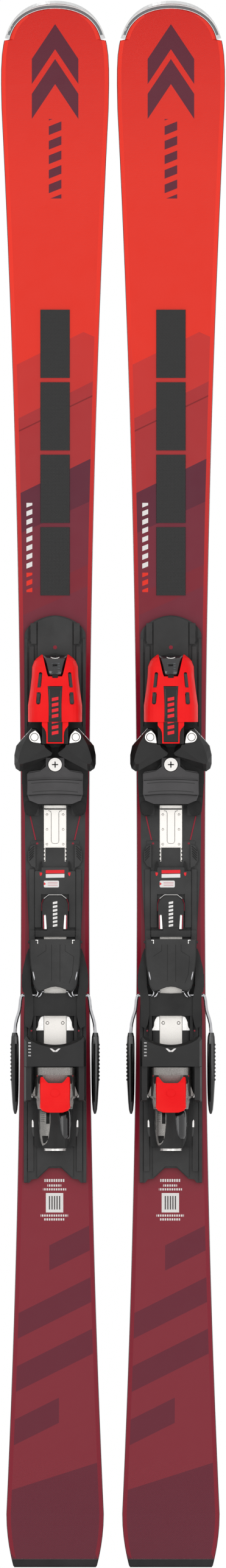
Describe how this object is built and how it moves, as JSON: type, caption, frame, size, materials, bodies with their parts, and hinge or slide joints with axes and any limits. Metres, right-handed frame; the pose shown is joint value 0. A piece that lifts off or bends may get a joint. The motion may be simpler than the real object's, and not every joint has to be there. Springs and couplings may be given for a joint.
{
  "type": "pair of alpine skis with bindings",
  "caption": "Pair of slalom skis with sliding toe and heel release bindings, ski brakes, damper plates and metal tip guards, upright side by side.",
  "frame": {"origin": "rack rest between the two skis, under the shovels, on the plane of the bases", "axes": "+Z from the tails to the tips, -Y out of the top surfaces, +X across the pair"},
  "size_m": [0.231, 0.0984, 1.616],
  "materials": {
    "base_black": "sintered running base",
    "edge_steel": "ground steel",
    "core_wood": "laminated core with dark sidewalls",
    "top_sheet": "printed satin sheet, bright red to maroon",
    "tip_metal": "satin metal",
    "tail_plastic": "black moulded",
    "damper_rubber": "black dotted",
    "rail_plastic": "black fine grain",
    "screw_steel": "zinc plated",
    "band_steel": "satin spring steel",
    "lever_plastic": "black fine grain",
    "chassis_plastic": "black",
    "red_plastic": "bright red satin",
    "pin_steel": "blasted steel",
    "spring_steel": "oiled",
    "wing_plastic": "black satin",
    "pad_plastic": "dark grey low friction",
    "afd_plastic": "grey low friction",
    "cast_metal": "grey blasted casting",
    "wire_chrome": "polished",
    "paddle_plastic": "black gloss"
  },
  "bodies": {
    "left_ski": {"left_base_sheet": "base_black", "left_steel_edges": "edge_steel", "left_core": "core_wood", "left_top_sheet": "top_sheet", "left_tip_guard": "tip_metal", "left_tail_guard": "tail_plastic", "left_dampers": "damper_rubber", "left_binding_rails": "rail_plastic", "left_rail_screws": "screw_steel", "left_steel_band": "band_steel"},
    "left_lock": {"left_lock_lever": "lever_plastic"},
    "left_toe": {"left_toe_base": "chassis_plastic", "left_toe_cover": "red_plastic", "left_toe_pins": "pin_steel", "left_toe_spring": "spring_steel"},
    "left_toe_wing_left": {"left_wing_left": "wing_plastic"},
    "left_toe_wing_right": {"left_wing_right": "wing_plastic"},
    "left_toe_adjuster": {"left_toe_screw": "screw_steel"},
    "left_afd": {"left_afd_plate": "afd_plastic"},
    "left_afd_adjuster": {"left_afd_screw": "screw_steel"},
    "left_heel": {"left_heel_base": "chassis_plastic", "left_heel_spring": "spring_steel", "left_heel_pins": "pin_steel"},
    "left_heel_cup": {"left_heel_housing": "cast_metal", "left_heel_jaw": "wing_plastic"},
    "left_heel_step_lever": {"left_heel_lever": "red_plastic"},
    "left_heel_adjuster": {"left_heel_screw": "screw_steel"},
    "left_brake": {"left_brake_wires": "wire_chrome", "left_brake_paddles": "paddle_plastic"},
    "left_pedal": {"left_brake_pedal": "pad_plastic"},
    "right_ski": {"right_base_sheet": "base_black", "right_steel_edges": "edge_steel", "right_core": "core_wood", "right_top_sheet": "top_sheet", "right_tip_guard": "tip_metal", "right_tail_guard": "tail_plastic", "right_dampers": "damper_rubber", "right_binding_rails": "rail_plastic", "right_rail_screws": "screw_steel", "right_steel_band": "band_steel"},
    "right_lock": {"right_lock_lever": "lever_plastic"},
    "right_toe": {"right_toe_base": "chassis_plastic", "right_toe_cover": "red_plastic", "right_toe_pins": "pin_steel", "right_toe_spring": "spring_steel"},
    "right_toe_wing_left": {"right_wing_left": "wing_plastic"},
    "right_toe_wing_right": {"right_wing_right": "wing_plastic"},
    "right_toe_adjuster": {"right_toe_screw": "screw_steel"},
    "right_afd": {"right_afd_plate": "afd_plastic"},
    "right_afd_adjuster": {"right_afd_screw": "screw_steel"},
    "right_heel": {"right_heel_base": "chassis_plastic", "right_heel_spring": "spring_steel", "right_heel_pins": "pin_steel"},
    "right_heel_cup": {"right_heel_housing": "cast_metal", "right_heel_jaw": "wing_plastic"},
    "right_heel_step_lever": {"right_heel_lever": "red_plastic"},
    "right_heel_adjuster": {"right_heel_screw": "screw_steel"},
    "right_brake": {"right_brake_wires": "wire_chrome", "right_brake_paddles": "paddle_plastic"},
    "right_pedal": {"right_brake_pedal": "pad_plastic"}
  },
  "joints": [
    {"name": "left_toe_slide", "type": "slide", "parent": "left_ski", "child": "left_toe", "axis": [0, 0, 1], "range_m": [-0.012, 0.012]},
    {"name": "left_wing_left_swing", "type": "hinge", "parent": "left_toe", "child": "left_toe_wing_left", "pos_m": [-0.081, -0.058, -0.5236], "axis": [0, 1, 0], "range_deg": [0, 30], "stiffness_Nm_per_rad": 6, "springref_deg": -8.59},
    {"name": "left_wing_right_swing", "type": "hinge", "parent": "left_toe", "child": "left_toe_wing_right", "pos_m": [-0.0384, -0.058, -0.5236], "axis": [0, -1, 0], "range_deg": [0, 30], "stiffness_Nm_per_rad": 6, "springref_deg": -8.59},
    {"name": "left_toe_screw_turn", "type": "hinge", "parent": "left_toe", "child": "left_toe_adjuster", "pos_m": [-0.0597, -0.046, -0.45], "axis": [0, 0, 1], "range_deg": [-720, 720]},
    {"name": "left_afd_height", "type": "slide", "parent": "left_toe", "child": "left_afd", "axis": [0, -1, 0], "range_m": [-0.002, 0.001]},
    {"name": "left_afd_screw_turn", "type": "hinge", "parent": "left_toe", "child": "left_afd_adjuster", "pos_m": [-0.0597, -0.04, -0.552], "axis": [0, -1, 0], "range_deg": [-481, 241]},
    {"name": "left_lock_lever_lift", "type": "hinge", "parent": "left_ski", "child": "left_lock", "pos_m": [-0.0597, -0.03, -0.7265], "axis": [1, 0, 0], "range_deg": [0, 40]},
    {"name": "left_heel_slide", "type": "slide", "parent": "left_ski", "child": "left_heel", "axis": [0, 0, 1], "range_m": [-0.012, 0.008]},
    {"name": "left_heel_jaw_open", "type": "hinge", "parent": "left_heel", "child": "left_heel_cup", "pos_m": [-0.0597, -0.045, -0.893], "axis": [1, 0, 0], "range_deg": [0, 30]},
    {"name": "left_heel_lever_press", "type": "hinge", "parent": "left_heel_cup", "child": "left_heel_step_lever", "pos_m": [-0.0597, -0.082, -0.886], "axis": [1, 0, 0], "range_deg": [0, 15]},
    {"name": "left_heel_screw_turn", "type": "hinge", "parent": "left_heel", "child": "left_heel_adjuster", "pos_m": [-0.0597, -0.0395, -0.94], "axis": [0, 0, 1], "range_deg": [-720, 720]},
    {"name": "left_brake_deploy", "type": "hinge", "parent": "left_heel", "child": "left_brake", "pos_m": [-0.0597, -0.033, -0.79], "axis": [1, 0, 0], "range_deg": [0, 65]},
    {"name": "left_brake_pedal_lift", "type": "hinge", "parent": "left_heel", "child": "left_pedal", "pos_m": [-0.0597, -0.0435, -0.735], "axis": [-1, 0, 0], "range_deg": [0, 25]},
    {"name": "right_toe_slide", "type": "slide", "parent": "right_ski", "child": "right_toe", "axis": [0, 0, 1], "range_m": [-0.012, 0.012]},
    {"name": "right_wing_left_swing", "type": "hinge", "parent": "right_toe", "child": "right_toe_wing_left", "pos_m": [0.0384, -0.058, -0.5236], "axis": [0, 1, 0], "range_deg": [0, 30], "stiffness_Nm_per_rad": 6, "springref_deg": -8.59},
    {"name": "right_wing_right_swing", "type": "hinge", "parent": "right_toe", "child": "right_toe_wing_right", "pos_m": [0.081, -0.058, -0.5236], "axis": [0, -1, 0], "range_deg": [0, 30], "stiffness_Nm_per_rad": 6, "springref_deg": -8.59},
    {"name": "right_toe_screw_turn", "type": "hinge", "parent": "right_toe", "child": "right_toe_adjuster", "pos_m": [0.0597, -0.046, -0.45], "axis": [0, 0, 1], "range_deg": [-720, 720]},
    {"name": "right_afd_height", "type": "slide", "parent": "right_toe", "child": "right_afd", "axis": [0, -1, 0], "range_m": [-0.002, 0.001]},
    {"name": "right_afd_screw_turn", "type": "hinge", "parent": "right_toe", "child": "right_afd_adjuster", "pos_m": [0.0597, -0.04, -0.552], "axis": [0, -1, 0], "range_deg": [-481, 241]},
    {"name": "right_lock_lever_lift", "type": "hinge", "parent": "right_ski", "child": "right_lock", "pos_m": [0.0597, -0.03, -0.7265], "axis": [1, 0, 0], "range_deg": [0, 40]},
    {"name": "right_heel_slide", "type": "slide", "parent": "right_ski", "child": "right_heel", "axis": [0, 0, 1], "range_m": [-0.012, 0.008]},
    {"name": "right_heel_jaw_open", "type": "hinge", "parent": "right_heel", "child": "right_heel_cup", "pos_m": [0.0597, -0.045, -0.893], "axis": [1, 0, 0], "range_deg": [0, 30]},
    {"name": "right_heel_lever_press", "type": "hinge", "parent": "right_heel_cup", "child": "right_heel_step_lever", "pos_m": [0.0597, -0.082, -0.886], "axis": [1, 0, 0], "range_deg": [0, 15]},
    {"name": "right_heel_screw_turn", "type": "hinge", "parent": "right_heel", "child": "right_heel_adjuster", "pos_m": [0.0597, -0.0395, -0.94], "axis": [0, 0, 1], "range_deg": [-720, 720]},
    {"name": "right_brake_deploy", "type": "hinge", "parent": "right_heel", "child": "right_brake", "pos_m": [0.0597, -0.033, -0.79], "axis": [1, 0, 0], "range_deg": [0, 65]},
    {"name": "right_brake_pedal_lift", "type": "hinge", "parent": "right_heel", "child": "right_pedal", "pos_m": [0.0597, -0.0435, -0.735], "axis": [-1, 0, 0], "range_deg": [0, 25]},
    {"name": "right_ski_lift", "type": "slide", "parent": "left_ski", "child": "right_ski", "axis": [0, 0, 1], "range_m": [0, 0.12]}
  ],
  "couplings": [
    {"joint": "left_afd_screw_turn", "follows": "left_afd_height", "rad_per_m": 4188.8},
    {"joint": "left_heel_lever_press", "follows": "left_heel_jaw_open", "ratio": 0.5},
    {"joint": "left_brake_pedal_lift", "follows": "left_brake_deploy", "ratio": 0.3846},
    {"joint": "right_afd_screw_turn", "follows": "right_afd_height", "rad_per_m": 4188.8},
    {"joint": "right_heel_lever_press", "follows": "right_heel_jaw_open", "ratio": 0.5},
    {"joint": "right_brake_pedal_lift", "follows": "right_brake_deploy", "ratio": 0.3846}
  ]
}
